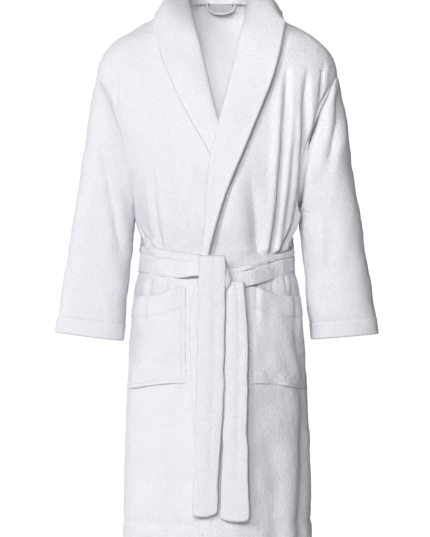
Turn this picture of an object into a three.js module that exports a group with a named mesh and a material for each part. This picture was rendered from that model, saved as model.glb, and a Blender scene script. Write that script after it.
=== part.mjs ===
// A terry bathrobe with a shawl collar, tied at the waist and filled out as it is when worn.
// Millimetres, +Z up. The front faces -Y and the wearer's left side is +X, so the left front
// lies on top. Z = 0 is the height at which the shoulders carry the robe.
import * as THREE from "three";
import { RoundedBoxGeometry } from "three/addons/geometries/RoundedBoxGeometry.js";

// --- Driving dimensions ---
const CLOTH = 3.5; // thickness of one layer of terry
const HEM_Z = -1155; // lower edge of the skirt
const NECK_SEAM_Z = 50; // top of the back panel, inside the collar
const SHOULDER_END_Z = 30; // where the shoulder seams end, inside the collar
const SHOULDER_TIP_Z = -122; // top of the armhole, on the dropped shoulder
const UNDERARM_Z = -430;
const UNDERARM_X = 181;
const CUFF_Z = -690; // middle of the sleeve's lower edge
const CUFF_DEPTH = 34; // height of the stitched cuff
const SEAM = 0.8; // half of the slit left between two panels sewn edge to edge
const ARMHOLE_SEAM = 4.4; // the panels stop this far inside the armhole line
const NECK_X = 4; // the neck opening and the overlap sit a little to the wearer's left
const OVERLAP_LIFT = 12; // how far the left front stands off where it covers the right front
const ROUNDNESS = 2.2; // exponent of the body's superellipse sections
const BELT_WIDTH = 56;
const BELT_THICK = 5; // the belt is a folded strip, two layers thick
const BELT_Z = -520; // middle of the belt at the side seams
const POCKET_TOP_Z = -592;
const POCKET_BOTTOM_Z = -796;
const POCKET_BAND = 46; // height of the turned and stitched pocket top
const POCKET_ROOM = 17; // how far a pocket's mouth gapes
const END_TOP_Z = -592; // where the hanging belt ends leave the knot
const END_BOTTOM_Z = -1082;

const TERRY = { color: 0xf1f1f5, roughness: 0.95, metalness: 0 };
const TAPE = { color: 0xe4e4e8, roughness: 0.8, metalness: 0 };
const LABEL = { color: 0xd8d4cc, roughness: 0.7, metalness: 0 };

const { clamp, lerp, smoothstep } = THREE.MathUtils;
const LEFT = 1; // the wearer's left, +X
const RIGHT = -1;

// --- Curves ---

// A smooth curve through [position, value] pairs whose positions rise.
function profile(knots) {
  const last = knots.length - 1;
  const slopes = knots.map((_, i) => {
    const [x0, y0] = knots[Math.max(i - 1, 0)];
    const [x1, y1] = knots[Math.min(i + 1, last)];
    return (y1 - y0) / (x1 - x0);
  });
  return (at) => {
    let i = 0;
    while (i < last - 1 && at > knots[i + 1][0]) i++;
    const [x0, y0] = knots[i];
    const [x1, y1] = knots[i + 1];
    const h = x1 - x0;
    const t = clamp((at - x0) / h, 0, 1);
    const rise = t * t * (3 - 2 * t);
    const early = t * (1 - t) * (1 - t);
    const late = t * t * (t - 1);
    return y0 + (y1 - y0) * rise + h * (slopes[i] * early + slopes[i + 1] * late);
  };
}

// Half width of the body across the shoulders, waist and hem, from the hem up.
const halfWidth = profile([
  [-1155, 204],
  [-930, 199],
  [-690, 187],
  [-585, 176],
  [-520, 165],
  [-430, 178],
  [-279, 236],
  [-200, 256],
  [-122, 261],
  [-84, 252],
  [-48, 225],
  [-22, 184],
  [0, 143],
  [36, 84],
  [60, 56],
]);

// Depth of the body in front of and behind the shoulder line.
const frontDepth = profile([
  [-1155, 168],
  [-900, 158],
  [-700, 144],
  [-600, 132],
  [-520, 124],
  [-430, 130],
  [-279, 136],
  [-122, 122],
  [0, 88],
  [60, 58],
]);
const backDepth = profile([
  [-1155, 165],
  [-900, 152],
  [-700, 135],
  [-600, 118],
  [-520, 108],
  [-430, 116],
  [-279, 126],
  [-122, 118],
  [0, 94],
  [60, 78],
]);

// Distance of each front's folded edge from the neck centre: positive on its own side.
const foldEdge = profile([
  [-1155, -37],
  [-700, -59],
  [-600, -54],
  [-515, -33],
  [-425, -24],
  [-304, -14],
  [-240, 2],
  [-205, 11],
  [-95, 37],
  [4, 62],
  [50, 73],
]);

// Outer edge of each collar half, from the neck centre.
const collarEdge = {
  [LEFT]: profile([
    [-515, -26],
    [-387, 10],
    [-312, 40],
    [-200, 86],
    [-117, 117],
    [-33, 135],
    [2, 137],
  ]),
  [RIGHT]: profile([
    [-400, -16],
    [-293, 19],
    [-216, 63],
    [-121, 107],
    [-29, 136],
    [0, 137],
  ]),
};

const armholeX = (z) => {
  const up = clamp((z - UNDERARM_Z) / (SHOULDER_TIP_Z - UNDERARM_Z), 0, 1);
  return UNDERARM_X + (halfWidth(SHOULDER_TIP_Z) - UNDERARM_X) * up ** 2.2;
};

// The sleeve seen from the front: its outer line, and its inner line below the underarm.
const sleeveOuter = (z) => lerp(264, 351, (SHOULDER_TIP_Z - z) / (SHOULDER_TIP_Z - CUFF_Z));
const sleeveInner = (z) => lerp(UNDERARM_X + 1, 210, (UNDERARM_Z - z) / (UNDERARM_Z - CUFF_Z));

// --- The body's surface ---

function bodyPoint(angle, z) {
  const s = Math.sin(angle);
  const c = Math.cos(angle);
  const depth = c > 0 ? frontDepth(z) : backDepth(z);
  const x = halfWidth(z) * Math.sign(s) * Math.abs(s) ** (2 / ROUNDNESS);
  const y = -depth * Math.sign(c) * Math.abs(c) ** (2 / ROUNDNESS);
  return new THREE.Vector3(x, y, z);
}

// Angle from the centre front at which the surface passes x.
function angleAt(x, z) {
  const ratio = clamp(Math.abs(x) / halfWidth(z), 0, 1);
  return Math.sign(x) * Math.asin(ratio ** (ROUNDNESS / 2));
}

function normalOf(surface, u, v, step) {
  const alongU = surface(u + step, v).sub(surface(u - step, v));
  const alongV = surface(u, v + step).sub(surface(u, v - step));
  return alongU.cross(alongV).normalize();
}

// A point that stands proud of the body by a distance.
function onBody(angle, z, proud) {
  const scale = 200; // brings a step in angle and a step in height to one size
  const skin = (a, h) => bodyPoint(a, h * scale);
  return bodyPoint(angle, z).addScaledVector(normalOf(skin, angle, z / scale, 0.01), proud);
}

// Where the left front covers the right one, it lies on top of it.
function lift(side, x, z) {
  if (side === RIGHT) return 0;
  return OVERLAP_LIFT * (1 - smoothstep(x, 30, 115)) * (1 - smoothstep(z, -225, -110));
}

// --- Building closed sheets ---

// A closed sheet of even thickness round a middle surface over u, v in 0..1.
function cloth(surface, across, along, thickness, round = false) {
  const columns = round ? across : across + 1;
  const rows = along + 1;
  const position = [];
  for (const half of [thickness / 2, -thickness / 2]) {
    for (let j = 0; j < rows; j++) {
      for (let i = 0; i < columns; i++) {
        const u = i / across;
        const v = j / along;
        const normal = normalOf(surface, u, v, 0.002);
        position.push(...surface(u, v).addScaledVector(normal, half).toArray());
      }
    }
  }
  const layer = rows * columns;
  const at = (i, j, k) => k * layer + j * columns + (i % columns);
  const index = [];
  const quad = (a, b, c, d) => index.push(a, b, c, a, c, d);
  for (let j = 0; j < along; j++) {
    for (let i = 0; i < across; i++) {
      quad(at(i, j, 0), at(i + 1, j, 0), at(i + 1, j + 1, 0), at(i, j + 1, 0));
      quad(at(i, j, 1), at(i, j + 1, 1), at(i + 1, j + 1, 1), at(i + 1, j, 1));
    }
    if (round) continue;
    quad(at(0, j, 0), at(0, j + 1, 0), at(0, j + 1, 1), at(0, j, 1));
    quad(at(across, j, 0), at(across, j, 1), at(across, j + 1, 1), at(across, j + 1, 0));
  }
  for (let i = 0; i < across; i++) {
    quad(at(i, 0, 0), at(i, 0, 1), at(i + 1, 0, 1), at(i + 1, 0, 0));
    quad(at(i, along, 0), at(i + 1, along, 0), at(i + 1, along, 1), at(i, along, 1));
  }
  const geometry = new THREE.BufferGeometry();
  geometry.setAttribute("position", new THREE.Float32BufferAttribute(position, 3));
  geometry.setIndex(index);
  geometry.computeVertexNormals();
  return geometry;
}

const robe = new THREE.Group();

function add(name, geometry, finish = TERRY) {
  const mesh = new THREE.Mesh(geometry, new THREE.MeshStandardMaterial(finish));
  mesh.name = name;
  robe.add(mesh);
  return mesh;
}

// --- Back and front panels ---

// Heights of a panel's rows, closer together over the shoulders.
const rowHeight = profile([
  [0, HEM_Z],
  [0.28, -640],
  [0.62, -140],
  [1, SHOULDER_END_Z],
]);

// The angle at which a panel stops: at the armhole, the side seam or the shoulder seam.
function panelLimit(z) {
  const seam = Math.PI / 2 - SEAM / halfWidth(z) - 0.004;
  return z < UNDERARM_Z ? seam : Math.min(seam, angleAt(armholeX(z) - ARMHOLE_SEAM, z));
}

function backPanel() {
  const surface = (u, v) => {
    const across = lerp(-1, 1, u);
    const rise = (NECK_SEAM_Z - SHOULDER_END_Z) * (1 - across ** 2);
    const z = rowHeight(v) + rise * smoothstep(v, 0.8, 1);
    return onBody(Math.PI + across * panelLimit(z), z, CLOTH / 2);
  };
  return cloth(surface, 18, 18, CLOTH);
}

// Each front runs from its fold under the collar, or its free edge, to the side.
const COVERED = 8; // the collar's folded edge reaches this far past the panel's edge
const edgeX = (side, z) => NECK_X + side * foldEdge(z);

function frontPanel(side) {
  const surface = (u, v) => {
    const z = rowHeight(v);
    const covered = COVERED * smoothstep(z, -600, -560) + 8 * smoothstep(z, -60, 0);
    const start = side * angleAt(edgeX(side, z) + side * covered, z);
    const end = Math.max(panelLimit(z), start + 0.02);
    const angle = side * lerp(start, end, side === LEFT ? u : 1 - u);
    return onBody(angle, z, CLOTH / 2 + lift(side, bodyPoint(angle, z).x, z));
  };
  return cloth(surface, 12, 18, CLOTH);
}

// The folded strip behind each front edge, from the belt to the hem.
function frontFacing(side) {
  const width = 46;
  const surface = (u, v) => {
    const z = lerp(HEM_Z + 2, -590, v);
    const inset = lerp(2, width, side === LEFT ? u : 1 - u);
    const x = edgeX(side, z) + side * inset;
    return onBody(angleAt(x, z), z, -3.2 + lift(side, x, z));
  };
  return cloth(surface, 2, 8, CLOTH - 0.5);
}

// --- Sleeves and cuffs ---

// u runs from the front edge round the outside to the back edge; below the underarm the two
// edges meet in the underarm seam.
function sleevePoint(side, u, z, tilt) {
  const hollow = bodyPoint(angleAt(armholeX(z), z), z);
  const edgeY = z > UNDERARM_Z ? Math.abs(hollow.y) : 0;
  const tube = lerp(66, 50, clamp((UNDERARM_Z - z) / (UNDERARM_Z - CUFF_Z), 0, 1));
  const fullness = lerp(tube, 20, smoothstep(z, UNDERARM_Z, -330));
  const radiusY = Math.hypot(edgeY, fullness);
  const limit = Math.PI - Math.max(Math.asin(edgeY / radiusY), SEAM / radiusY);
  const inner = (z > UNDERARM_Z ? armholeX(z) : sleeveInner(z)) + SEAM;
  const radiusX = (sleeveOuter(z) - inner) / (1 - Math.cos(limit));
  const angle = lerp(-1, 1, u) * limit;
  const x = sleeveOuter(z) - radiusX * (1 - Math.cos(angle));
  const y = radiusY * Math.sin(angle);
  const lean = 0.13 * (x - (sleeveOuter(z) - radiusX));
  return new THREE.Vector3(side * x, y, z + lean * tilt);
}

const SLEEVE_TOP_Z = SHOULDER_TIP_Z - 7;
const SLEEVE_END_Z = CUFF_Z + CUFF_DEPTH;
const cuffTilt = (z) => smoothstep(UNDERARM_Z - z, 20, UNDERARM_Z - SLEEVE_END_Z);

function sleeve(side) {
  const surface = (u, v) => {
    const z = lerp(SLEEVE_END_Z + 1, SLEEVE_TOP_Z, v);
    return sleevePoint(side, side === LEFT ? u : 1 - u, z, cuffTilt(z));
  };
  return cloth(surface, 16, 14, CLOTH);
}

function cuff(side) {
  const surface = (u, v) => {
    const z = lerp(CUFF_Z, SLEEVE_END_Z, v);
    return sleevePoint(side, side === LEFT ? u : 1 - u, z, 1);
  };
  return cloth(surface, 16, 2, CLOTH + 1);
}

// --- Shawl collar ---

// Each half folds over a roll line: a stand inside the neck, the roll, and the fall outside.
// Round the back of the neck its stations are placed by hand: [stand, roll, belly of the fall,
// fall edge], each as distance from the neck centre, depth and height.
const NECK_STATIONS = [
  [[0.8, 70, 46], [0.8, 86, 88], [0.8, 107, 42], [0.8, 107, -12]],
  [[36, 60, 46], [42, 73, 85], [64, 98, 40], [80, 99, -12]],
  [[59, 34, 42], [66, 40, 76], [102, 68, 43], [128, 73, 0]],
  [[66, 3, 34], [74, 2, 62], [112, 2, 49], [136, 2, 19]],
  [[61, -34, 14], [69, -38, 38], [110, -62, 30], [138, -72, -2]],
];

function chestStation(side, z) {
  const x = edgeX(side, z);
  const outer = NECK_X + side * Math.max(collarEdge[side](z), side * (x - NECK_X) + 10);
  const raise = lift(side, x, z);
  const inward = smoothstep(z, -235, -185); // higher up the stand turns inside the panel
  const behind = smoothstep(z, -170, -110);
  const tuckX = x + side * lerp(0, 5, behind);
  const stand = onBody(angleAt(tuckX, z), z, lerp(2, -7, inward) + raise);
  const roll = onBody(angleAt(x, z), z, 6 + raise + 3 * inward);
  const half = lerp(x, outer, 0.5);
  const belly = onBody(angleAt(half, z), z, 7.4 + 5 * inward + lift(side, half, z));
  const fall = onBody(angleAt(outer, z), z, 7.4 + 3.6 * inward + lift(side, outer, z));
  return [stand, roll, belly, fall];
}

function collar(side, lowest) {
  const neck = NECK_STATIONS.map((s) =>
    s.map(([m, y, z]) => new THREE.Vector3(NECK_X + side * m, y, z)),
  );
  const chest = [];
  for (let i = 0; i <= 8; i++) chest.push(chestStation(side, lerp(-24, lowest, i / 8)));
  const stations = [...neck, ...chest];
  const curves = [0, 1, 2, 3].map((k) => new THREE.CatmullRomCurve3(stations.map((s) => s[k])));
  const surface = (u, v) => {
    const at = clamp(side === LEFT ? v : 1 - v, 0, 1);
    const section = new THREE.CatmullRomCurve3(curves.map((c) => c.getPoint(at)));
    return section.getPoint(clamp(u, 0, 1));
  };
  return cloth(surface, 7, 24, CLOTH + 0.5);
}

// --- Patch pockets ---

// A pocket's surface: it bellies out between its sewn sides and bottom, and its mouth gapes.
function pocketProud(across, down) {
  const open = Math.sin(Math.PI * across) ** 0.6;
  return 2.6 + POCKET_ROOM * open * (1 - down ** 3);
}

function pocketPoint(side, across, z, extra) {
  const down = clamp((POCKET_TOP_Z - z) / (POCKET_TOP_Z - POCKET_BOTTOM_Z), 0, 1);
  const start = side * angleAt(side * 70, z);
  const angle = side * lerp(start, 1.44, across);
  const x = bodyPoint(angle, z).x;
  const proud = CLOTH + pocketProud(clamp(across, 0, 1), down) + extra;
  return onBody(angle, z, proud + lift(side, x, z));
}

function pocket(side) {
  const surface = (u, v) => {
    const z = lerp(POCKET_BOTTOM_Z, POCKET_TOP_Z, v);
    return pocketPoint(side, side === LEFT ? u : 1 - u, z, 0);
  };
  return cloth(surface, 10, 6, CLOTH);
}

function pocketBand(side) {
  const surface = (u, v) => {
    const z = lerp(POCKET_TOP_Z - POCKET_BAND, POCKET_TOP_Z, v);
    return pocketPoint(side, side === LEFT ? lerp(0.01, 0.99, u) : lerp(0.99, 0.01, u), z, 4.2);
  };
  return cloth(surface, 10, 2, CLOTH);
}

// --- Belt ---

function beltMiddle(x) {
  return BELT_Z - 38 * Math.exp(-(((x - 40) / 80) ** 2));
}

// The belt lies over the panels, and over both fronts and the collar's end at the centre.
function beltProud(x, front) {
  const over = front ? smoothstep(x, -95, -45) * (1 - smoothstep(x, 62, 128)) : 0;
  return 11 + 16 * over;
}

function belt() {
  const surface = (u, v) => {
    const angle = 2 * Math.PI * u;
    const front = Math.cos(angle) > 0;
    const x = bodyPoint(angle, BELT_Z).x;
    const middle = front ? beltMiddle(x) : lerp(beltMiddle(x), BELT_Z, 1 - Math.abs(x / 171) ** 8);
    const z = middle + BELT_WIDTH * (v - 0.5);
    return onBody(angle, z, beltProud(bodyPoint(angle, z).x, front));
  };
  return cloth(surface, 48, 2, BELT_THICK, true);
}

function knot() {
  const geometry = new RoundedBoxGeometry(68, 15, 70, 2, 7);
  geometry.deleteAttribute("uv");
  geometry.rotateY(0.12);
  return geometry;
}

// The hanging ends: [left side at the top, right side at the top, left and right at the foot].
const FRONT_END = { top: [-42, 12], foot: [-54, -1], fall: END_BOTTOM_Z };
const REAR_END = { top: [21, 57], foot: [8, 69], fall: END_BOTTOM_Z - 8 };

function beltEnd({ top, foot, fall }) {
  const surface = (u, v) => {
    const z = lerp(fall, END_TOP_Z, v);
    const x = lerp(lerp(foot[0], top[0], v), lerp(foot[1], top[1], v), u);
    const y = -frontDepth(z) - OVERLAP_LIFT - 13 - 7 * smoothstep(z, -840, -600);
    return new THREE.Vector3(x, y, z);
  };
  return cloth(surface, 2, 10, BELT_THICK);
}

// A narrow strip over the belt, just behind each side seam.
const LOOP_BACK = 0.3; // how far behind the seam, as an angle

function beltLoop(side) {
  const half = 46;
  const surface = (u, v) => {
    const s = 2 * v - 1;
    const z = BELT_Z + 2 + half * s;
    const angle = side * (Math.PI / 2 + LOOP_BACK) + 0.036 * (2 * u - 1);
    const proud = 8 + 9.6 * (1 - smoothstep(Math.abs(s), 0.68, 0.92));
    return onBody(angle, z, proud);
  };
  return cloth(surface, 2, 16, 2.2);
}

// --- Inside the back of the neck ---

const LOOP_HALF = 31; // half the distance between the loop's sewn ends
const LOOP_DROP = 19;
const LOOP_TOP_Z = 42;
const LOOP_Y = 55;

function hangingLoop() {
  const surface = (u, v) => {
    const angle = Math.PI * clamp(v, -0.1, 1.1);
    const radial = (u - 0.5) * 6;
    const x = NECK_X + 5 - (LOOP_HALF + radial) * Math.cos(angle);
    const z = LOOP_TOP_Z - (LOOP_DROP + radial) * Math.sin(angle);
    const y = LOOP_Y - 4 * Math.sin(angle);
    return new THREE.Vector3(x, y, z);
  };
  return cloth(surface, 1, 18, 2.4);
}

function neckLabel() {
  const surface = (u, v) => {
    const z = lerp(22, 42, v);
    const x = NECK_X + 5 + 24 * (1 - 2 * u);
    return onBody(Math.PI - Math.asin(x / halfWidth(z)), z, -2.4);
  };
  return cloth(surface, 6, 3, 1);
}

// --- The robe ---

add("back_panel", backPanel());
for (const [name, side] of [["left", LEFT], ["right", RIGHT]]) {
  add(`${name}_front_panel`, frontPanel(side));
  add(`${name}_front_facing`, frontFacing(side));
  add(`${name}_sleeve`, sleeve(side));
  add(`${name}_cuff`, cuff(side));
  add(`${name}_collar`, collar(side, side === LEFT ? -484 : -392));
  add(`${name}_pocket`, pocket(side));
  add(`${name}_pocket_band`, pocketBand(side));
  add(`${name}_belt_loop`, beltLoop(side));
}
add("belt", belt());
add("belt_knot", knot()).position.set(-6, -frontDepth(BELT_Z) - 44, -549);
add("belt_front_end", beltEnd(FRONT_END));
add("belt_rear_end", beltEnd(REAR_END));
add("hanging_loop", hangingLoop(), TAPE);
add("neck_label", neckLabel(), LABEL);

export default robe;
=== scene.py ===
# A white terry bathrobe, filled out as it is when worn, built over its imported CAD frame.
# Metres. The front faces -Y, +X is the wearer's left, and z = 0 is the height of the shoulders.
import math

import bmesh
import bpy
import numpy as np
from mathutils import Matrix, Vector


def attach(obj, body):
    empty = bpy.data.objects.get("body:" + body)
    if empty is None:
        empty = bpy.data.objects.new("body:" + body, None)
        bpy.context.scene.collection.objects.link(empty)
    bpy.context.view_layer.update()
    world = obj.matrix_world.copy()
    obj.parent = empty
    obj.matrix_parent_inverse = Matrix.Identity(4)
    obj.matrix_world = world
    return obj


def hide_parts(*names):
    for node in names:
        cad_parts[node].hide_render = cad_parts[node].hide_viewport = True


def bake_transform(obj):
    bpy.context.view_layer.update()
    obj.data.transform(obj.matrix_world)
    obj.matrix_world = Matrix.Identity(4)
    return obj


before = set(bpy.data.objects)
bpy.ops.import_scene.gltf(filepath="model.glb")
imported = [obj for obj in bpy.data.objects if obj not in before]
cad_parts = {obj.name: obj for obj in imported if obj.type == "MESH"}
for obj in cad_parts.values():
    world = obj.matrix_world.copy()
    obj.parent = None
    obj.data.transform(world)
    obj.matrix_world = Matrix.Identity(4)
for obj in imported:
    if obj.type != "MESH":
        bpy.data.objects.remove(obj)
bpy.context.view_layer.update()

LEFT, RIGHT = 1, -1  # the wearer's left is +X
NAMES = {LEFT: "left", RIGHT: "right"}
MM = 0.001

# --- Dimensions, as in the CAD part where they are shared ---
HEM_Z = -1.155
HEM_DEPTH = 0.062
NECK_SEAM_Z = 0.050
SHOULDER_END_Z = 0.030
SHOULDER_TIP_Z = -0.122
UNDERARM_Z = -0.430
UNDERARM_X = 0.181
CUFF_Z = -0.690
CUFF_DEPTH = 0.034
NECK_X = 0.004
OVERLAP_LIFT = 0.012
CLOTH = 0.0036  # thickness of the terry
BELT_Z = -0.520
BELT_LOOP_BACK = 0.30  # radians behind the side seam
POCKET_INNER_X = 0.067
POCKET_BAND = 0.045
POCKET_SIDE_ANGLE = 1.37  # radians from the front, where a pocket's outer edge is sewn
EDGE_STITCH = 0.075  # share of a front panel's width at which its front edge is stitched
SIDE_STITCH = 0.035  # share of the pocket's width that its side seams stand in
FOOT_STITCH = 0.97  # share of the pocket's height at which its foot is sewn
BAND_SHARE = 0.22  # share of the pocket's height that its band takes
LABEL_HALF_WIDTH = 0.024
LOOP_X = NECK_X + 0.005  # middle of the hanging loop and the label
LOOP_TOP_Z = 0.042
LOOP_HALF_WIDTH = 0.031
LOOP_DROP = 0.019
COLLAR_LOWEST = {LEFT: -0.532, RIGHT: -0.392}
SEAM = 0.0002  # how far a sheet stops short of the seam it meets
COVERED = 0.008  # how far a front panel's edge stays back under the collar
BELT_SLANT = 0.004  # how far the back of the belt rises from its middle to the wearer's left
BELT_END_WIDTH = 0.054
# nominal sizes, which only turn a share of a width or height into a distance
FRONT_WIDTH = 0.27
WAIST_HALF_WIDTH = 0.17
POCKET_WIDTH = 0.170
POCKET_HEIGHT = 0.205


# --- Curves ---

def smoothstep(x, low, high):
    t = np.clip((np.asarray(x, float) - low) / (high - low), 0, 1)
    return t * t * (3 - 2 * t)


def mix(a, b, t):
    return a + (b - a) * t


def profile(*knots):
    """A smooth curve through (position, value) pairs whose positions rise."""
    xs = np.array([k[0] for k in knots], float)
    ys = np.array([k[1] for k in knots], float)
    before = np.concatenate([[0], np.arange(len(xs) - 1)])
    after = np.concatenate([np.arange(1, len(xs)), [len(xs) - 1]])
    slopes = (ys[after] - ys[before]) / (xs[after] - xs[before])

    def at(x):
        x = np.asarray(x, float)
        i = np.clip(np.searchsorted(xs, x) - 1, 0, len(xs) - 2)
        h = xs[i + 1] - xs[i]
        t = np.clip((x - xs[i]) / h, 0, 1)
        rise = t * t * (3 - 2 * t)
        early, late = t * (1 - t) ** 2, t * t * (t - 1)
        return ys[i] + (ys[i + 1] - ys[i]) * rise + h * (slopes[i] * early + slopes[i + 1] * late)

    return at


half_width = profile(
    (-1.155, 0.204), (-0.930, 0.199), (-0.690, 0.187), (-0.585, 0.176), (-0.520, 0.165),
    (-0.430, 0.178), (-0.279, 0.236), (-0.200, 0.256), (-0.122, 0.261), (-0.084, 0.252),
    (-0.048, 0.225), (-0.022, 0.184), (0.0, 0.143), (0.036, 0.084), (0.060, 0.056))
front_depth = profile(
    (-1.155, 0.168), (-0.900, 0.158), (-0.700, 0.144), (-0.600, 0.132), (-0.520, 0.124),
    (-0.430, 0.130), (-0.279, 0.136), (-0.122, 0.122), (0.0, 0.088), (0.060, 0.058))
back_depth = profile(
    (-1.155, 0.165), (-0.900, 0.152), (-0.700, 0.135), (-0.600, 0.118), (-0.520, 0.108),
    (-0.430, 0.116), (-0.279, 0.126), (-0.122, 0.118), (0.0, 0.094), (0.060, 0.078))
# exponent of the body's superellipse sections: 2 is an ellipse, and more is squarer
roundness = profile((-1.155, 2.0), (-0.800, 2.1), (-0.590, 2.35), (-0.430, 2.5), (0.060, 2.5))
fold_edge = profile(
    (-1.155, -0.037), (-0.700, -0.059), (-0.600, -0.054), (-0.515, -0.033), (-0.425, -0.024),
    (-0.304, -0.014), (-0.240, 0.002), (-0.205, 0.011), (-0.095, 0.037), (0.004, 0.062),
    (0.050, 0.073))
collar_edge = {
    LEFT: profile((-0.515, -0.026), (-0.387, 0.010), (-0.312, 0.040), (-0.200, 0.086),
                  (-0.117, 0.117), (-0.033, 0.135), (0.002, 0.137)),
    RIGHT: profile((-0.400, -0.016), (-0.293, 0.019), (-0.216, 0.063), (-0.121, 0.107),
                   (-0.029, 0.136), (0.0, 0.137)),
}


def armhole_x(z):
    up = np.clip((z - UNDERARM_Z) / (SHOULDER_TIP_Z - UNDERARM_Z), 0, 1)
    return UNDERARM_X + (half_width(SHOULDER_TIP_Z) - UNDERARM_X) * up ** 2.2


# --- The body's surface ---

def body_point(angle, z):
    angle, z = np.broadcast_arrays(np.asarray(angle, float), np.asarray(z, float))
    s, c = np.sin(angle), np.cos(angle)
    depth = np.where(c > 0, front_depth(z), back_depth(z))
    power = 2 / roundness(z)
    x = half_width(z) * np.sign(s) * np.abs(s) ** power
    y = -depth * np.sign(c) * np.abs(c) ** power
    return np.stack([x, y, z], -1)


def body_normal(angle, z):
    step, rise = 0.02, 0.003
    along = body_point(angle + step, z) - body_point(angle - step, z)
    up = body_point(angle, z + rise) - body_point(angle, z - rise)
    n = np.cross(along, up)
    return n / np.linalg.norm(n, axis=-1, keepdims=True)


def angle_at(x, z):
    ratio = np.clip(np.abs(x) / half_width(z), 0, 1)
    return np.sign(x) * np.arcsin(ratio ** (roundness(z) / 2))


def on_body(angle, z, proud):
    return body_point(angle, z) + body_normal(angle, z) * np.asarray(proud)[..., None]


def lift(side, x, z):
    if side == RIGHT:
        return np.zeros(np.broadcast(x, z).shape)
    return OVERLAP_LIFT * (1 - smoothstep(x, 0.030, 0.115)) * (1 - smoothstep(z, -0.225, -0.110))


# --- Folds and unevenness ---

def waves(points, length, seed, count=22):
    """Soft, even unevenness of about unit height whose waves are about length long."""
    rng = np.random.default_rng(seed)
    way = rng.normal(size=(count, 3))
    way /= np.linalg.norm(way, axis=1, keepdims=True)
    way *= 2 * math.pi / length * rng.uniform(0.6, 1.4, (count, 1))
    phase = rng.uniform(0, 2 * math.pi, count)
    return np.sin(points @ way.T + phase).sum(-1) / math.sqrt(count)


def crease(off, width):
    """The cross-section of a fold: a valley between two lower, wider swells."""
    valley = np.exp(-(off / width) ** 2)
    swell = np.exp(-((off - 1.9 * width) / (1.4 * width)) ** 2)
    swell += np.exp(-((off + 1.9 * width) / (1.4 * width)) ** 2)
    return 0.5 * swell - valley


# Each fold: its line as (height, x) pairs going up, half width, depth, and how much of its
# length it takes to fade in at the bottom and at the top.
FRONT_FOLDS = [
    # wearer's left chest, falling from the shoulder to the belt
    (((-0.506, 0.118), (-0.361, 0.134), (-0.253, 0.143), (-0.180, 0.148), (-0.085, 0.152)),
     0.0078, 0.0150, 0.01, 0.32),
    (((-0.506, 0.139), (-0.442, 0.161), (-0.361, 0.176), (-0.282, 0.185), (-0.183, 0.189),
      (-0.090, 0.196)), 0.0086, 0.0160, 0.01, 0.30),
    (((-0.300, 0.208), (-0.205, 0.219), (-0.156, 0.224), (-0.085, 0.231)), 0.007, 0.006, 0.4, 0.3),
    (((-0.513, 0.090), (-0.436, 0.081), (-0.370, 0.075), (-0.310, 0.068)), 0.015, 0.0080, 0.01, 0.6),
    (((-0.506, 0.130), (-0.440, 0.149)), 0.0045, 0.0045, 0.01, 0.7),
    (((-0.506, 0.153), (-0.455, 0.166)), 0.0050, 0.0050, 0.01, 0.7),
    # wearer's right chest, softer
    (((-0.495, -0.125), (-0.370, -0.136), (-0.250, -0.150)), 0.010, 0.0042, 0.01, 0.6),
    (((-0.490, -0.075), (-0.348, -0.086), (-0.225, -0.101)), 0.014, 0.0034, 0.01, 0.6),
    (((-0.497, -0.143), (-0.440, -0.176)), 0.0055, 0.0050, 0.01, 0.6),
    (((-0.497, -0.156), (-0.430, -0.170)), 0.0050, 0.0040, 0.01, 0.6),
    (((-0.200, -0.214), (-0.150, -0.217), (-0.090, -0.221)), 0.007, 0.0040, 0.2, 0.5),
    # gathers under the belt
    (((-0.690, -0.150), (-0.620, -0.146), (-0.565, -0.142)), 0.009, 0.0030, 0.6, 0.01),
    (((-0.660, -0.112), (-0.565, -0.108)), 0.008, 0.0032, 0.6, 0.01),
    (((-0.650, -0.078), (-0.565, -0.080)), 0.007, 0.0030, 0.6, 0.01),
    (((-0.620, 0.150), (-0.560, 0.144)), 0.006, 0.0028, 0.8, 0.01),
    (((-0.610, 0.122), (-0.565, 0.119)), 0.005, 0.0024, 0.8, 0.01),
    (((-0.700, 0.084), (-0.640, 0.081), (-0.570, 0.081)), 0.006, 0.0045, 0.6, 0.01),
    (((-0.760, 0.166), (-0.560, 0.158)), 0.010, 0.0034, 0.5, 0.01),
    # long, shallow flutes of the skirt
    (((-1.160, 0.176), (-0.875, 0.184), (-0.700, 0.172)), 0.018, 0.0062, 0.01, 0.5),
    (((-1.160, 0.128), (-0.980, 0.122), (-0.840, 0.112)), 0.020, 0.0040, 0.01, 0.6),
    (((-1.160, -0.150), (-0.950, -0.158), (-0.820, -0.160)), 0.022, 0.0036, 0.01, 0.6),
    (((-1.160, -0.098), (-0.950, -0.090), (-0.800, -0.084)), 0.020, 0.0026, 0.01, 0.6),
]
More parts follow.
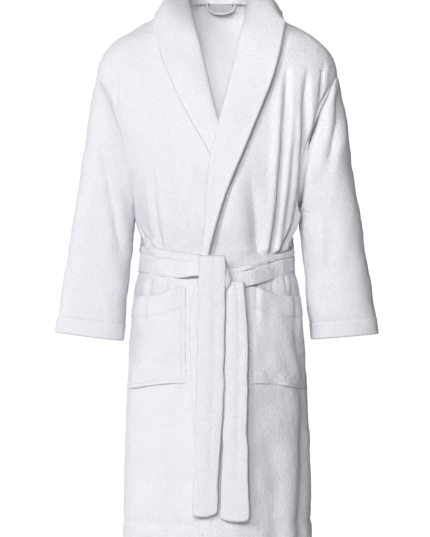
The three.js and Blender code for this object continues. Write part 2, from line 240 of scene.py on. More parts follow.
BACK_FOLDS = [
    (((-0.500, 0.060), (-0.380, 0.072), (-0.270, 0.090)), 0.013, 0.0055, 0.01, 0.6),
    (((-0.500, -0.052), (-0.390, -0.066), (-0.250, -0.094)), 0.013, 0.0055, 0.01, 0.6),
    (((-0.500, 0.020), (-0.420, 0.022), (-0.330, 0.030)), 0.011, 0.0040, 0.01, 0.7),
    (((-0.500, -0.018), (-0.440, -0.022), (-0.360, -0.030)), 0.010, 0.0035, 0.01, 0.7),
    (((-0.500, 0.112), (-0.400, 0.132), (-0.300, 0.160), (-0.200, 0.180)), 0.011, 0.0060, 0.01, 0.5),
    (((-0.500, -0.106), (-0.400, -0.128), (-0.300, -0.158), (-0.190, -0.182)), 0.011, 0.0060, 0.01, 0.5),
    (((-0.760, 0.034), (-0.545, 0.028)), 0.010, 0.0045, 0.6, 0.01),
    (((-0.700, -0.012), (-0.545, -0.010)), 0.009, 0.0040, 0.6, 0.01),
    (((-0.780, -0.058), (-0.545, -0.050)), 0.010, 0.0045, 0.6, 0.01),
    (((-0.760, 0.096), (-0.545, 0.088)), 0.010, 0.0050, 0.6, 0.01),
    (((-0.740, -0.104), (-0.545, -0.096)), 0.010, 0.0050, 0.6, 0.01),
    (((-1.160, 0.060), (-0.950, 0.056), (-0.760, 0.044)), 0.024, 0.0075, 0.01, 0.7),
    (((-1.160, -0.072), (-0.950, -0.066), (-0.760, -0.060)), 0.024, 0.0070, 0.01, 0.7),
    (((-1.160, 0.148), (-0.950, 0.142), (-0.780, 0.128)), 0.022, 0.0065, 0.01, 0.7),
    (((-1.160, -0.156), (-0.950, -0.148), (-0.780, -0.134)), 0.022, 0.0060, 0.01, 0.7),
]


def fold_rise(angle, z, folds, centre=0.0):
    """How far the folds raise or sink the cloth at an angle round the body and a height."""
    total = np.zeros(np.broadcast(angle, z).shape)
    for line, width, depth, fade_low, fade_high in folds:
        heights = [p[0] for p in line]
        low, high = heights[0], heights[-1]
        reach = high - low
        x = profile(*line)(z) if len(line) > 2 else np.interp(z, heights, [p[1] for p in line])
        at = angle_at(x, z)
        if centre:
            at = centre - at
        depth_here = np.where(np.cos(at) > 0, front_depth(z), back_depth(z))
        radius = np.hypot(half_width(z) * np.cos(at), depth_here * np.sin(at))
        off = (angle - at) * radius
        fade = smoothstep(z, low - 1e-4, low + reach * fade_low)
        fade = fade * (1 - smoothstep(z, high - reach * fade_high, high + 1e-4))
        total = total + depth * crease(off, width) * fade
    return total


def waist(z):
    """The belt draws the cloth in."""
    return groove(z + 0.500, 0.048, 0.0085)


def groove(off, width=0.0022, depth=0.0016):
    """A soft valley, such as a line of stitching pulls into the cloth."""
    return -depth * np.exp(-(off / width) ** 2)


def cloth_rise(angle, z, front):
    points = body_point(angle, z)
    rise = fold_rise(angle, z, FRONT_FOLDS) if front else fold_rise(angle, z, BACK_FOLDS, math.pi)
    rise = rise + waist(z)
    rise = rise + 0.0011 * waves(points, 0.085, 5) + 0.00035 * waves(points, 0.022, 6)
    rise = rise + 0.0027 * smoothstep(-z, 0.75, -HEM_Z) * waves(points * (1, 1, 0.12), 0.16, 9)
    rise = rise + groove(z - HEM_Z - HEM_DEPTH, 0.0065, 0.0032)
    return rise


# --- Building meshes ---

def grid_normals(points, wrap):
    across = np.gradient(points, axis=1)
    if wrap:
        across = (np.roll(points, -1, 1) - np.roll(points, 1, 1)) / 2
    n = np.cross(across, np.gradient(points, axis=0))
    return n / np.maximum(np.linalg.norm(n, axis=-1, keepdims=True), 1e-12)


def mesh_object(name, vertices, faces):
    mesh = bpy.data.meshes.new(name)
    mesh.vertices.add(len(vertices))
    mesh.vertices.foreach_set("co", np.asarray(vertices, np.float32).ravel())
    faces = np.asarray(faces, np.int32)
    mesh.loops.add(faces.size)
    mesh.loops.foreach_set("vertex_index", faces.ravel())
    mesh.polygons.add(len(faces))
    mesh.polygons.foreach_set("loop_start", np.arange(0, faces.size, 4, dtype=np.int32))
    mesh.update(calc_edges=True)
    mesh.polygons.foreach_set("use_smooth", np.ones(len(faces), bool))
    obj = bpy.data.objects.new(name, mesh)
    bpy.context.scene.collection.objects.link(obj)
    return obj


def cloth_piece(name, points, thickness, wrap=False):
    """A closed sheet round a grid of points on its middle surface, with rounded edges."""
    rows, columns = points.shape[:2]
    normal = grid_normals(points, wrap)
    half = np.broadcast_to(np.asarray(thickness, float), points.shape[:2])[..., None] / 2
    outer, inner = points + normal * half, points - normal * half
    vertices = [outer.reshape(-1, 3), inner.reshape(-1, 3)]
    grid = np.arange(rows * columns).reshape(rows, columns)
    layer = rows * columns
    faces = []

    def strip(a, b):
        faces.append(np.stack([a[:-1], a[1:], b[1:], b[:-1]], -1))

    right = np.roll(grid, -1, 1) if wrap else grid[:, 1:]
    left = grid if wrap else grid[:, :-1]
    quads = np.stack([left[:-1], right[:-1], right[1:], left[1:]], -1).reshape(-1, 4)
    faces += [quads, quads[:, ::-1] + layer]
    count = 2 * layer
    ends = [(grid[0], grid[1], 1), (grid[-1], grid[-2], -1)]
    if not wrap:
        ends += [(grid[:, 0], grid[:, 1], -1), (grid[:, -1], grid[:, -2], 1)]
    flat, flat_half = points.reshape(-1, 3), half.reshape(-1)
    for edge, inside, turn in ends:
        out = flat[edge] - flat[inside]
        out /= np.maximum(np.linalg.norm(out, axis=1, keepdims=True), 1e-12)
        vertices.append(flat[edge] + out * flat_half[edge, None] * 0.8)
        rim = count + np.arange(len(edge))
        count += len(edge)
        a, b, c = edge, rim, edge + layer
        if wrap:
            a, b, c = (np.append(v, v[0]) for v in (a, b, c))
        if turn < 0:
            a, c = c, a
        strip(b, a)
        strip(c, b)
    obj = mesh_object(name, np.concatenate(vertices), np.concatenate(faces))
    if not wrap:
        close_corners(obj)
    return obj


def close_corners(obj):
    """Fills the small open corners between two rims."""
    bm = bmesh.new()
    bm.from_mesh(obj.data)
    open_edges = [e for e in bm.edges if e.is_boundary]
    bmesh.ops.holes_fill(bm, edges=open_edges, sides=8)
    for face in bm.faces:
        face.smooth = True
    bm.to_mesh(obj.data)
    bm.free()


def spaced(low, high, step):
    return np.linspace(low, high, max(3, int(round(abs(high - low) / step)) + 1))


def facing_out(points, side):
    """The grid in the column order that makes its normals face outwards on that side."""
    return points if side == LEFT else points[:, ::-1]


def catmull(points, at):
    """Points on the smooth curve through points[0..n-1] at values in 0..1."""
    points = np.asarray(points, float)
    n = len(points) - 1
    s = np.clip(np.asarray(at, float), 0, 1) * n
    i = np.clip(s.astype(int), 0, n - 1)
    t = (s - i).reshape((-1,) + (1,) * (points.ndim - 1))
    before = np.where((i > 0).reshape(t.shape), points[np.maximum(i - 1, 0)],
                      2 * points[i] - points[i + 1])
    after = np.where((i < n - 1).reshape(t.shape), points[np.minimum(i + 2, n)],
                     2 * points[i + 1] - points[i])
    a, b = points[i], points[i + 1]
    return 0.5 * (2 * a + (b - before) * t + (2 * before - 5 * a + 4 * b - after) * t ** 2
                  + (3 * a - before - 3 * b + after) * t ** 3)


# --- Materials ---

def terry_material(name, colour):
    """Looped pile: fine loops over soft clumps, with a faint sheen."""
    material = bpy.data.materials.new(name)
    material.use_nodes = True
    nodes, links = material.node_tree.nodes, material.node_tree.links
    shader = nodes["Principled BSDF"]
    shader.inputs["Roughness"].default_value = 0.96
    shader.inputs["Specular IOR Level"].default_value = 0.18
    shader.inputs["Sheen Weight"].default_value = 0.22
    shader.inputs["Sheen Roughness"].default_value = 0.55
    shader.inputs["Sheen Tint"].default_value = (1.0, 1.0, 1.0, 1.0)
    place = nodes.new("ShaderNodeTexCoord")

    def noise(scale, detail, roughness=0.6):
        node = nodes.new("ShaderNodeTexNoise")
        node.inputs["Scale"].default_value = scale
        node.inputs["Detail"].default_value = detail
        node.inputs["Roughness"].default_value = roughness
        links.new(place.outputs["Object"], node.inputs["Vector"])
        return node

    pile, clumps = noise(430, 2.0), noise(210, 2.5)
    loop = nodes.new("ShaderNodeTexVoronoi")
    loop.inputs["Scale"].default_value = 420
    links.new(place.outputs["Object"], loop.inputs["Vector"])
    ramp = nodes.new("ShaderNodeValToRGB")
    ramp.color_ramp.elements[0].position = 0.28
    ramp.color_ramp.elements[1].position = 0.66
    dark = tuple(c * 0.90 for c in colour)
    ramp.color_ramp.elements[0].color = (*dark, 1)
    ramp.color_ramp.elements[1].color = (*colour, 1)
    links.new(pile.outputs["Fac"], ramp.inputs["Fac"])
    links.new(ramp.outputs["Color"], shader.inputs["Base Color"])

    def bump(height, strength, distance, under=None):
        node = nodes.new("ShaderNodeBump")
        node.inputs["Strength"].default_value = strength
        node.inputs["Distance"].default_value = distance
        links.new(height, node.inputs["Height"])
        if under is not None:
            links.new(under.outputs["Normal"], node.inputs["Normal"])
        return node

    soft = bump(clumps.outputs["Fac"], 0.7, 0.0024)
    fine = bump(pile.outputs["Fac"], 1.0, 0.0028, soft)
    looped = bump(loop.outputs["Distance"], 0.35, 0.0008, fine)
    links.new(looped.outputs["Normal"], shader.inputs["Normal"])
    return material


def woven_material(name, colour, threads):
    """A fine plain weave."""
    material = bpy.data.materials.new(name)
    material.use_nodes = True
    nodes, links = material.node_tree.nodes, material.node_tree.links
    shader = nodes["Principled BSDF"]
    shader.inputs["Roughness"].default_value = 0.75
    shader.inputs["Sheen Weight"].default_value = 0.15
    place = nodes.new("ShaderNodeTexCoord")
    weave = []
    for direction in ("X", "Z"):
        wave = nodes.new("ShaderNodeTexWave")
        wave.bands_direction = direction
        wave.inputs["Scale"].default_value = threads
        wave.inputs["Distortion"].default_value = 0.4
        links.new(place.outputs["Object"], wave.inputs["Vector"])
        weave.append(wave)
    both = nodes.new("ShaderNodeMath")
    both.operation = "MULTIPLY"
    links.new(weave[0].outputs["Fac"], both.inputs[0])
    links.new(weave[1].outputs["Fac"], both.inputs[1])
    ramp = nodes.new("ShaderNodeValToRGB")
    ramp.color_ramp.elements[0].color = (*(c * 0.82 for c in colour), 1)
    ramp.color_ramp.elements[1].color = (*colour, 1)
    links.new(both.outputs["Value"], ramp.inputs["Fac"])
    links.new(ramp.outputs["Color"], shader.inputs["Base Color"])
    bump = nodes.new("ShaderNodeBump")
    bump.inputs["Strength"].default_value = 0.5
    bump.inputs["Distance"].default_value = 0.0003
    links.new(both.outputs["Value"], bump.inputs["Height"])
    links.new(bump.outputs["Normal"], shader.inputs["Normal"])
    return material


WHITE = (0.85, 0.846, 0.895)
terry = terry_material("terry", WHITE)
tape = woven_material("tape", (0.66, 0.66, 0.69), 420)
label_cloth = woven_material("label_cloth", (0.53, 0.50, 0.51), 600)
SLOTS = {"terry": terry, "tape": tape, "label": label_cloth}


def finish_piece(obj, node, body, slot="terry"):
    """Gives a piece its cloth and hides the CAD part of that node; parents it to a named body, and for a
    blend of two bodies only bakes its transform in place.
    """
    obj.data.materials.append(SLOTS[slot])
    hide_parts(node)
    if isinstance(body, str):
        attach(obj, body)
    else:
        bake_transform(obj)


# --- Back and front panels ---

row_height = profile((0, HEM_Z), (0.28, -0.640), (0.62, -0.140), (1, SHOULDER_END_Z))


def sharp_limit(z):
    seam = math.pi / 2 - SEAM / half_width(z)
    return np.where(z < UNDERARM_Z, seam, np.minimum(seam, angle_at(armhole_x(z) + 0.002, z)))


def panel_limit(z):
    """The angle at which a panel stops: at the armhole, the side seam or the shoulder seam.

    Towards each end of the armhole it runs on a little behind the sleeve.
    """
    steps = np.linspace(0, 0.040, 9)
    below = sum(sharp_limit(z - d) for d in steps) / len(steps)
    above = sum(sharp_limit(z + d) for d in steps / 2) / len(steps)
    return np.maximum(below, above)


def from_armhole(x, z):
    """Distance inwards from the armhole line, and large below the underarm."""
    return armhole_x(z) - np.abs(x) + 0.5 * smoothstep(UNDERARM_Z + 0.012 - z, 0, 0.024)


def armhole_groove(side, off, z):
    """The seam that joins panel and sleeve sinks in, most on the wearer's left."""
    depth, width = (0.0108, 0.0080) if side == LEFT else (0.0026, 0.0060)
    fade = smoothstep(z, -0.445, -0.400) * (1 - smoothstep(z, -0.170, -0.120))
    return groove(off, width, depth) * fade


def collar_gap(side, x, z):
    """The panel sinks a little under the collar's free edge."""
    depth = 0.0098 if side == LEFT else 0.0012
    off = side * (x - NECK_X) - collar_edge[side](z) - 0.004
    fade = (1 - smoothstep(z, -0.060, 0.000)) * smoothstep(z, -0.520, -0.480)
    return groove(off, 0.009, depth) * fade


def back_panel():
    u = np.linspace(-1, 1, 150)[None, :]
    v = np.linspace(0, 1, 290)[:, None]
    rise = (NECK_SEAM_Z - SHOULDER_END_Z) * (1 - u ** 2)
    z = row_height(v) + rise * smoothstep(v, 0.8, 1)
    turn = u * panel_limit(z)
    x = body_point(math.pi + turn, z)[..., 0]
    seam = smoothstep(from_armhole(x, z), 0, 0.012)
    points = on_body(math.pi + turn, z, CLOTH / 2 + cloth_rise(math.pi + turn, z, False) * seam)
    obj = cloth_piece("back_panel_cloth", points, CLOTH)
    finish_piece(obj, "back_panel", "root")


def edge_x(side, z):
    return NECK_X + side * fold_edge(z)


def front_panel_points(side, u, v):
    z = row_height(v) + 0 * u
    covered = COVERED * smoothstep(z, -0.600, -0.560) + COVERED * smoothstep(z, -0.060, 0.0)
    start = side * angle_at(edge_x(side, z) + side * covered, z)
    end = np.maximum(panel_limit(z), start + 0.02)
    angle = side * mix(start, end, u)
    x = body_point(angle, z)[..., 0]
    off = from_armhole(x, z)
    rise = CLOTH / 2 + lift(side, x, z) + cloth_rise(angle, z, True) * smoothstep(off, 0, 0.012)
    rise = rise + armhole_groove(side, off, z) + collar_gap(side, x, z)
    below = smoothstep(-z, 0.59, 0.62)
    rise = rise + below * groove((u - EDGE_STITCH) * FRONT_WIDTH, 0.0022, 0.0014)
    return on_body(angle, z, rise)


def front_panel(side):
    u = np.linspace(0, 1, 96)[None, :]
    v = np.linspace(0, 1, 290)[:, None]
    points = front_panel_points(side, u, v)
    points = facing_out(points, side)
    obj = cloth_piece(f"{NAMES[side]}_front_cloth", points, CLOTH)
    finish_piece(obj, f"{NAMES[side]}_front_panel", "root")


def front_facing(side):
    u = np.linspace(0, 1, 14)[None, :]
    z = spaced(HEM_Z + 0.002, -0.590, 0.006)[:, None] + 0 * u
    x = edge_x(side, z) + side * mix(0.001, 0.046, u)
    angle = angle_at(x, z)
    rise = -0.0024 + lift(side, x, z) + cloth_rise(angle, z, True)
    points = on_body(angle, z, rise)
    points = facing_out(points, side)
    obj = cloth_piece(f"{NAMES[side]}_facing_cloth", points, CLOTH - 0.0008)
    finish_piece(obj, f"{NAMES[side]}_front_facing", "root")


# --- Sleeves and cuffs ---

def sleeve_outer(z):
    return mix(0.264, 0.351, (SHOULDER_TIP_Z - z) / (SHOULDER_TIP_Z - CUFF_Z))


def sleeve_inner(z):
    return mix(UNDERARM_X + 0.001, 0.210, (UNDERARM_Z - z) / (UNDERARM_Z - CUFF_Z))


# Folds on the front of each sleeve, as in FRONT_FOLDS, with distances from the body's middle.
SLEEVE_FOLDS = {
    RIGHT: [(((-0.560, 0.207), (-0.462, 0.218), (-0.361, 0.233), (-0.279, 0.246), (-0.185, 0.257)),
             0.010, 0.0050, 0.3, 0.35),
            (((-0.640, 0.262), (-0.480, 0.272), (-0.360, 0.284)), 0.014, 0.0022, 0.5, 0.5)],
    LEFT: [(((-0.360, 0.234), (-0.282, 0.249), (-0.216, 0.260), (-0.135, 0.266)),
            0.010, 0.0068, 0.45, 0.2),
           (((-0.640, 0.238), (-0.500, 0.246), (-0.400, 0.250)), 0.014, 0.0030, 0.5, 0.5)],
}
sleeve_half_depth = profile(
    (-0.690, 0.050), (-0.550, 0.0590), (-0.460, 0.0680), (-0.410, 0.0745), (-0.360, 0.0835),
    (-0.310, 0.0930), (-0.270, 0.0955), (-0.230, 0.0920), (-0.190, 0.0830), (-0.160, 0.0700),
    (-0.140, 0.0540), (-0.130, 0.0400), (-0.124, 0.0240))
SLEEVE_LEAN = {LEFT: 0.085, RIGHT: 0.13}  # how far the cuffs rise outwards
SLEEVE_SQUARENESS = 2.5  # exponent of the sleeve's superellipse sections
SLEEVE_SLANT = 1.15  # distance along the sleeve's slanting front for each step in x
SLEEVE_TOP_Z = SHOULDER_TIP_Z - 0.003
SLEEVE_END_Z = CUFF_Z + CUFF_DEPTH
# for each sleeve: the body, its own arm, the point where the body would carry it and the point from
# which its arm would; these are passed on, but the sleeve is only baked in place
ARM_BLEND = {
    side: ("root", f"{NAMES[side]}_arm", (side * 0.192, 0, -0.430), (side * 0.290, 0, -0.451))
    for side in (LEFT, RIGHT)
}


def sleeve_points(side, u, z, proud):
    """u runs from the front edge round the outside to the back edge."""
    armhole = body_point(angle_at(armhole_x(z), z), z)
    edge_y = np.where(z > UNDERARM_Z, np.abs(armhole[..., 1]), 0)
    radius_y = np.maximum(sleeve_half_depth(z), edge_y * 1.02)
    power = 2 / mix(SLEEVE_SQUARENESS, 2.0, smoothstep(z, -0.250, -0.130))
    limit = math.pi - np.maximum(np.arcsin((edge_y / radius_y) ** (1 / power)), SEAM / radius_y)
    inner = np.where(z > UNDERARM_Z, armhole_x(z), sleeve_inner(z))
    radius_x = (sleeve_outer(z) - inner) / (1 + np.abs(np.cos(limit)) ** power)
    angle = mix(-1, 1, u) * limit
    middle = sleeve_outer(z) - radius_x
    c, s = np.cos(angle), np.sin(angle)
    x = middle + radius_x * np.sign(c) * np.abs(c) ** power
    y = radius_y * np.sign(s) * np.abs(s) ** power
    facing = np.stack([np.sign(c) * np.abs(c) ** (2 - power) / radius_x,
                       np.sign(s) * np.abs(s) ** (2 - power) / radius_y], -1)
    facing /= np.linalg.norm(facing, axis=-1, keepdims=True)
    smooth = np.stack([side * x, y, z + 0 * x], -1)
    total = proud + 0.0012 * waves(smooth, 0.075, 15) + 0.0004 * waves(smooth, 0.022, 16)
    for line, width, depth, low, high in SLEEVE_FOLDS[side]:
        heights = [p[0] for p in line]
        reach = heights[-1] - heights[0]
        off = (x - profile(*line)(z)) * SLEEVE_SLANT
        fade = smoothstep(z, heights[0], heights[0] + reach * low)
        fade = fade * (1 - smoothstep(z, heights[-1] - reach * high, heights[-1]))
        front = smoothstep(-y, -0.004, 0.012)
        total = total + depth * crease(off, width) * fade * front
    from_edge = np.hypot(x - inner, np.where(y < 0, y + edge_y, 1))
    total = total + armhole_groove(side, from_edge, z)
    x = x + facing[..., 0] * total
    y = y + facing[..., 1] * total
    tilt = smoothstep(UNDERARM_Z - z, 0.020, UNDERARM_Z - SLEEVE_END_Z)
    lean = SLEEVE_LEAN[side] * (x - middle) * tilt
    return np.stack([side * x, y, z + lean], -1)


def sleeve(side):
    u = np.linspace(0, 1, 120)[None, :]
    v = np.linspace(0, 1, 150)[:, None]
    z = mix(SLEEVE_END_Z, SLEEVE_TOP_Z, v) + 0 * u
    pull = groove(z - SLEEVE_END_Z)
    points = sleeve_points(side, u, z, CLOTH / 2 + pull)
    points = facing_out(points, side)
    thickness = mix(CLOTH, 0.0010, smoothstep(z, -0.160, -0.126))
    obj = cloth_piece(f"{NAMES[side]}_sleeve_cloth", points, thickness)
    finish_piece(obj, f"{NAMES[side]}_sleeve", ARM_BLEND[side])


def cuff(side):
    u = np.linspace(0, 1, 120)[None, :]
    z = spaced(CUFF_Z, SLEEVE_END_Z, 0.0028)[:, None] + 0 * u
    pull = groove(z - SLEEVE_END_Z)
    points = sleeve_points(side, u, z, CLOTH / 2 + 0.0004 + pull)
    points = facing_out(points, side)
    obj = cloth_piece(f"{NAMES[side]}_cuff_cloth", points, CLOTH + 0.0016)
    finish_piece(obj, f"{NAMES[side]}_cuff", ARM_BLEND[side])


# --- Shawl collar ---

# Sections of the collar round the neck, from the centre back forwards. Each runs from the seam
# inside to the free edge, as (distance from the middle, y, z) in millimetres.
NECK_STATIONS = [
    ((0.0002, 70, 46), (0.0002, 86, 88), (0.0002, 107, 42), (0.0002, 107, -12)),
    ((36, 60, 46), (42, 73, 85), (64, 98, 40), (80, 99, -12)),
    ((59, 34, 42), (66, 40, 76), (102, 68, 43), (128, 73, 0)),
    ((66, 3, 34), (74, 2, 62), (112, 2, 49), (136, 2, 19)),
    ((61, -34, 14), (69, -38, 38), (110, -62, 30), (138, -72, -2)),
]


def chest_station(side, z):
    """A section of the collar on the chest, from the seam inside to the free edge."""
    x = edge_x(side, z)
    outer = NECK_X + side * max(float(collar_edge[side](z)), side * (x - NECK_X) + 0.010)
    raised = float(lift(side, x, z))
    inward = float(smoothstep(z, -0.235, -0.185))
    behind = float(smoothstep(z, -0.170, -0.110))
    tuck = x + side * 0.005 * behind
    half = mix(x, outer, 0.5)
    stand = on_body(angle_at(tuck, z), z, mix(0.002, -0.007, inward) + raised)
    roll = on_body(angle_at(x, z), z, 0.006 + raised + 0.003 * inward)
    belly = on_body(angle_at(half, z), z, 0.0080 + 0.005 * inward + float(lift(side, half, z)))
    crisp = 0.0088 * float(1 - smoothstep(z, -0.05, 0.02)) * (side == LEFT)
    edge = 0.0066 + 0.0030 * inward + crisp
    fall = on_body(angle_at(outer, z), z, edge + float(lift(side, outer, z)))
    return (stand, roll, belly, fall)


def collar(side):
    neck = [[np.array([NECK_X + side * m * MM, y * MM, z * MM]) for m, y, z in s]
            for s in NECK_STATIONS]
    chest = [chest_station(side, z) for z in np.linspace(-0.024, COLLAR_LOWEST[side], 10)]
    stations = np.array(neck + [list(s) for s in chest])
    along = catmull(stations, np.linspace(0, 1, 230))
    columns = np.linspace(0, 1, 34)
    points = np.stack([catmull(section, columns) for section in along])
    normal = grid_normals(points, False)
    fullness = 0.0022 * np.sin(math.pi * columns)[None, :]
    uneven = 0.0009 * waves(points, 0.07, 31) + 0.0003 * waves(points, 0.02, 32)
    sign = np.sign((normal * (stations[0][3] - stations[0][0])).sum(-1)[0, -1])
    uneven = uneven * smoothstep(np.abs(points[..., 0] - NECK_X), 0, 0.035)
    points = points + normal * (fullness * sign + uneven)[..., None]
    if sign < 0:
        points = points[:, ::-1]
    edge = smoothstep(columns, 0.90, 0.97) * 0.0016
    edge = edge if sign > 0 else edge[::-1]
    obj = cloth_piece(f"{NAMES[side]}_collar_cloth", points, 0.0052 + edge[None, :])
    finish_piece(obj, f"{NAMES[side]}_collar", "root")


# --- Pockets ---

def pocket_points(side, across, down, extra):
    """across runs from the inner edge to the side, down from the mouth to the bottom."""
    top = -0.583 - 0.018 * smoothstep(across, 0.0, 0.45) - 0.006 * across
    bottom = -0.789 - 0.014 * smoothstep(across, 0.1, 0.9)
    z = mix(top, bottom, down)
    start = side * angle_at(side * POCKET_INNER_X, z)
    angle = side * mix(start, POCKET_SIDE_ANGLE, across)
    x = body_point(angle, z)[..., 0]
    slack = np.sin(math.pi * np.clip(across, 0, 1)) ** 0.7
    belly = 0.0050 * slack * (1 - down ** 2.5)
    sewn = groove((across - SIDE_STITCH) * POCKET_WIDTH)
    sewn = sewn + groove((1 - SIDE_STITCH - across) * POCKET_WIDTH)
    sewn = sewn + groove((FOOT_STITCH - down) * POCKET_HEIGHT)
    sewn = sewn + groove(down * POCKET_HEIGHT - POCKET_BAND, 0.0026, 0.0020)
    under = CLOTH + lift(side, x, z) + cloth_rise(angle, z, True) * (1 - 0.35 * slack)
    border = np.minimum(across, 1 - across) * POCKET_WIDTH
    proud = under + 0.0022 * smoothstep(border, 0, 0.012) + belly + sewn + extra
    sag = 0.0016 * waves(body_point(angle, z), 0.05, 41 + side)
    return on_body(angle, z, proud + sag * slack)


def pocket(side):
    u = np.linspace(0, 1, 64)[None, :]
    v = np.linspace(1, 0, 76)[:, None]
    points = pocket_points(side, u, mix(BAND_SHARE, 1, v) + 0 * u, 0)
    points = facing_out(points, side)
    border = np.minimum(u, 1 - u) * POCKET_WIDTH + 0 * v
    thickness = mix(0.0018, CLOTH, smoothstep(border, 0, 0.010))
    obj = cloth_piece(f"{NAMES[side]}_pocket_cloth", points, thickness)
    finish_piece(obj, f"{NAMES[side]}_pocket", "root")


def pocket_band(side):
    u = np.linspace(0, 1, 64)[None, :]
    v = np.linspace(1, 0, 22)[:, None]
    points = pocket_points(side, u, mix(0, BAND_SHARE + 0.001, v) + 0 * u, 0.0010)
    points = facing_out(points, side)
    border = np.minimum(u, 1 - u) * POCKET_WIDTH + 0 * v
    thickness = mix(0.0022, CLOTH + 0.001, smoothstep(border, 0, 0.010))
    obj = cloth_piece(f"{NAMES[side]}_pocket_band_cloth", points, thickness)
    finish_piece(obj, f"{NAMES[side]}_pocket_band", "root")


# --- Belt ---

belt_top = profile((-0.180, -0.494), (-0.136, -0.500), (-0.077, -0.510), (-0.030, -0.517),
                   (0.010, -0.545), (0.046, -0.542), (0.117, -0.519), (0.180, -0.499))
belt_foot = profile((-0.180, -0.545), (-0.125, -0.556), (-0.077, -0.562), (-0.030, -0.560),
                    (0.010, -0.582), (0.046, -0.584), (0.117, -0.564), (0.180, -0.540))


def belt_proud(x, front):
    over = smoothstep(x, -0.095, -0.045) * (1 - smoothstep(x, 0.062, 0.128))
    return 0.0005 + 0.0185 * np.where(front, over, 0)


def belt():
    """From behind the knot, round the wearer's right, the back and the left, to the knot again."""
    angle = np.linspace(-0.06, -2 * math.pi + 0.10, 420)[None, :]
    v = np.linspace(0, 1, 20)[:, None]
    front = np.cos(angle) > 0
    x = body_point(angle, BELT_Z)[..., 0]
    to_front = smoothstep(np.cos(angle), -0.25, 0.25)
    slant = BELT_SLANT * x / WAIST_HALF_WIDTH
    foot = mix(-0.548 + slant, belt_foot(x), to_front)
    top = mix(-0.496 + slant, belt_top(x), to_front)
    z = mix(foot, top, v)
    rise = belt_proud(x, front) + 0 * v
    rise = rise + 0.0016 * np.sin(math.pi * v)
    fold = 0.72 + 0.05 * np.sin(3 * angle)
    rise = rise + groove(v - fold, 0.055, 0.0030) * smoothstep(np.abs(x), 0.02, 0.06)
    points = body_point(angle, z)
    rise = rise + 0.0012 * waves(points, 0.045, 51) + 0.0004 * waves(points, 0.014, 52)
    points = on_body(angle, z, rise)[:, ::-1]
    obj = cloth_piece("belt_cloth", points, 0.0062)
    finish_piece(obj, "belt", "root")


def end_strip(name, node, body, left, right, top_z, foot_z, y_of, seed, slant):
    """A hanging end of the belt between two edges, whose foot slants and curls a little."""
    u = np.linspace(0, 1, 26)[None, :]
    v = np.linspace(0, 1, 190)[:, None]
    z = mix(foot_z, top_z, v) + slant * (u - 0.5) * (1 - smoothstep(v, 0.0, 0.15)) + 0 * u
    z = z - 0.0060 * np.sin(math.pi * u) ** 0.7 * (1 - smoothstep(v, 0.0, 0.06))
    x = mix(left(z), right(z), u)
    y = y_of(z) - 0.0012 * np.sin(math.pi * u)
    points = np.stack([x, y, z], -1)
    flat = np.stack([x, 0 * x, z], -1)
    bend = 0.0010 * waves(flat, 0.13, seed) + 0.0004 * waves(flat, 0.035, seed + 1)
    along = 0.0010 * crease((u - 0.62) * BELT_END_WIDTH, 0.007)
    along = along * smoothstep(z, foot_z + 0.02, foot_z + 0.15)
    points[..., 1] -= bend + along
    points[..., 1] -= groove(z - foot_z - 0.018, 0.0022, 0.0013)
    points[..., 0] += 0.0008 * waves(flat * (0, 0, 1), 0.05, seed + 2)
    obj = cloth_piece(name, points, 0.0072)
    finish_piece(obj, node, body)


def over_front(z, proud):
    """Y of something that stands proud of the overlapping fronts by that much."""
    return -front_depth(z) - OVERLAP_LIFT - proud


def belt_ends():
    front_left = profile((-1.078, -0.0520), (-0.960, -0.0450), (-0.700, -0.0398), (-0.515, -0.0362))
    front_right = profile((-1.078, -0.0010), (-0.960, 0.0016), (-0.860, 0.0100), (-0.700, 0.0138),
                          (-0.515, 0.0166))
    rear_left = profile((-1.086, 0.0080), (-0.900, 0.0140), (-0.700, 0.0190), (-0.570, 0.0210))
    rear_right = profile((-1.086, 0.0680), (-0.900, 0.0620), (-0.700, 0.0640), (-0.570, 0.0560))
    bulge = profile((-1.1, 0.0190), (-0.700, 0.0200), (-0.620, 0.0230), (-0.580, 0.0300),
                    (-0.540, 0.0365), (-0.515, 0.0330))
    end_strip("belt_front_strip", "belt_front_end",
              ("root", "belt_end_front", (-0.015, -0.163, -0.584), (-0.015, -0.163, -0.640)),
              front_left, front_right, -0.517, -1.063,
              lambda z: over_front(z, bulge(z)), 61, 0.004)
    behind = profile((-1.1, 0.0115), (-0.640, 0.0130), (-0.590, 0.0155), (-0.570, 0.0160))
    end_strip("belt_rear_strip", "belt_rear_end",
              ("root", "belt_end_rear", (0.039, -0.163, -0.588), (0.039, -0.163, -0.640)),
              rear_left, rear_right, -0.572, -1.074,
              lambda z: over_front(z, behind(z)), 71, -0.004)


def belt_knot():
    """The roll of belt that the front end passes over."""
    u = np.linspace(0, 2 * math.pi, 72, endpoint=False)[None, :]
    v = np.linspace(0, 1, 60)[:, None]
    z = mix(-0.590, -0.522, v) + 0 * u
    middle_x = profile((-0.590, 0.0), (-0.555, -0.006), (-0.522, -0.010))(z)
    middle_y = over_front(z, profile((-0.590, 0.022), (-0.555, 0.0265), (-0.522, 0.0245))(z))
    swell = np.sqrt(np.maximum(1 - (2 * v - 1) ** 4, 0.02))
    wide = profile((-0.590, 0.026), (-0.565, 0.0310), (-0.540, 0.0290), (-0.522, 0.0230))(z) * swell
    deep = 0.0090 * swell
    lump = 1 + 0.05 * np.sin(3 * u + 40 * z)
    points = np.stack([middle_x + wide * np.cos(u) * lump, middle_y + deep * np.sin(u), z], -1)
    obj = cloth_piece("belt_knot_cloth", points, 0.0040, wrap=True)
    finish_piece(obj, "belt_knot", "root")


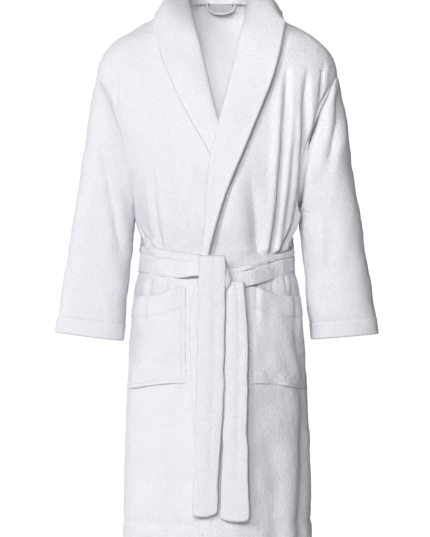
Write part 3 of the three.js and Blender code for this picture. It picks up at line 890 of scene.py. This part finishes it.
def belt_loop(side):
    u = np.linspace(-1, 1, 7)[None, :]
    v = np.linspace(-1, 1, 80)[:, None]
    z = BELT_Z - 0.001 + 0.046 * v + 0 * u
    angle = side * (math.pi / 2 + BELT_LOOP_BACK + 0.034 * u)
    proud = 0.0050 + 0.0030 * (1 - smoothstep(np.abs(v), 0.62, 0.86)) + 0.001 * np.cos(math.pi * u / 2)
    points = on_body(angle, z, proud)
    points = facing_out(points, side)
    obj = cloth_piece(f"{NAMES[side]}_belt_loop_cloth", points, 0.0030)
    finish_piece(obj, f"{NAMES[side]}_belt_loop", "root")


# --- Inside the back of the neck ---

def hanging_loop():
    v = np.linspace(-0.08, 1.08, 90)[:, None]
    u = np.linspace(-0.5, 0.5, 8)[None, :]
    angle = math.pi * v
    radial = 0.0034 * u
    x = LOOP_X - (LOOP_HALF_WIDTH + radial) * np.cos(angle)
    z = LOOP_TOP_Z - (LOOP_DROP + radial) * np.sin(angle)
    y = 0.055 + 0.005 * np.sin(angle) + 0 * u
    obj = cloth_piece("hanging_loop_tape", np.stack([x, y, z], -1), 0.0022)
    finish_piece(obj, "hanging_loop", "loop", "tape")


def neck_label():
    v = np.linspace(0, 1, 16)[:, None]
    u = np.linspace(1, -1, 30)[None, :]
    z = mix(0.024, 0.044, v) + 0 * u
    x = LOOP_X + LABEL_HALF_WIDTH * u
    y = 0.062 + 0.004 * (1 - u ** 2) - 0.002 * (1 - v)
    obj = cloth_piece("neck_label_cloth", np.stack([x + 0 * z, y + 0 * z, z], -1), 0.0010)
    finish_piece(obj, "neck_label", "root", "label")


# --- Studio ---

def camera():
    data = bpy.data.cameras.new("camera")
    distance, view_height = 6.0, 1.1814
    middle_x, middle_z = -0.0044, -0.5425
    data.sensor_fit = "VERTICAL"
    data.sensor_height = 24
    data.lens = data.sensor_height * distance / view_height
    data.clip_end = 50
    obj = bpy.data.objects.new("camera", data)
    obj.location = (middle_x, -distance, middle_z)
    obj.rotation_euler = (math.pi / 2, 0, 0)
    bpy.context.scene.collection.objects.link(obj)
    bpy.context.scene.camera = obj


def area_light(name, place, target, size, power, spread=math.pi):
    data = bpy.data.lights.new(name, "AREA")
    data.shape = "DISK"
    data.size = size
    data.energy = power
    data.spread = spread
    obj = bpy.data.objects.new(name, data)
    obj.location = place
    obj.rotation_euler = (Vector(target) - Vector(place)).to_track_quat("-Z", "Y").to_euler()
    bpy.context.scene.collection.objects.link(obj)


def studio():
    middle = (0, 0, -0.55)
    area_light("key", (-2.1, -3.9, 1.0), middle, 1.6, 104)
    area_light("fill", (-0.4, -5.2, 0.7), middle, 1.4, 154)
    area_light("rim", (-2.8, 1.1, 0.1), (-0.2, 0, -0.45), 1.8, 46)
    area_light("top", (0.6, -1.5, 1.2), (0.26, 0, -0.16), 0.5, 0.24, math.radians(24))
    area_light("neck", (0.01, -0.060, -0.16), (0.01, 0.30, -0.20), 0.15, 0.21)
    area_light("back", (-0.5, 4.4, 0.9), middle, 1.4, 150)
    world = bpy.data.worlds.new("studio")
    world.use_nodes = True
    nodes, links = world.node_tree.nodes, world.node_tree.links
    sky = nodes["Background"]
    sky.inputs["Color"].default_value = (0.96, 0.97, 1.0, 1)
    sky.inputs["Strength"].default_value = 0.048
    backdrop = nodes.new("ShaderNodeBackground")
    backdrop.inputs["Color"].default_value = (1, 1, 1, 1)
    backdrop.inputs["Strength"].default_value = 1.05
    seen = nodes.new("ShaderNodeLightPath")
    either = nodes.new("ShaderNodeMixShader")
    links.new(seen.outputs["Is Camera Ray"], either.inputs["Fac"])
    links.new(sky.outputs["Background"], either.inputs[1])
    links.new(backdrop.outputs["Background"], either.inputs[2])
    links.new(either.outputs["Shader"], nodes["World Output"].inputs["Surface"])
    bpy.context.scene.world = world
    bpy.context.scene.view_settings.view_transform = "Standard"


def floor():
    """The robe hangs well clear of it."""
    bpy.ops.mesh.primitive_circle_add(vertices=96, radius=2.4, fill_type="NGON",
                                      location=(0, 0, HEM_Z - 0.55))
    obj = bpy.context.object
    obj.name = "floor"
    material = bpy.data.materials.new("floor")
    material.use_nodes = True
    shader = material.node_tree.nodes["Principled BSDF"]
    shader.inputs["Base Color"].default_value = (0.75, 0.75, 0.76, 1)
    shader.inputs["Roughness"].default_value = 0.9
    obj.data.materials.append(material)


camera()
studio()
floor()
back_panel()
for side in (LEFT, RIGHT):
    front_panel(side)
    front_facing(side)
    sleeve(side)
    cuff(side)
    collar(side)
    pocket(side)
    pocket_band(side)
    belt_loop(side)
belt()
belt_knot()
belt_ends()
hanging_loop()
neck_label()
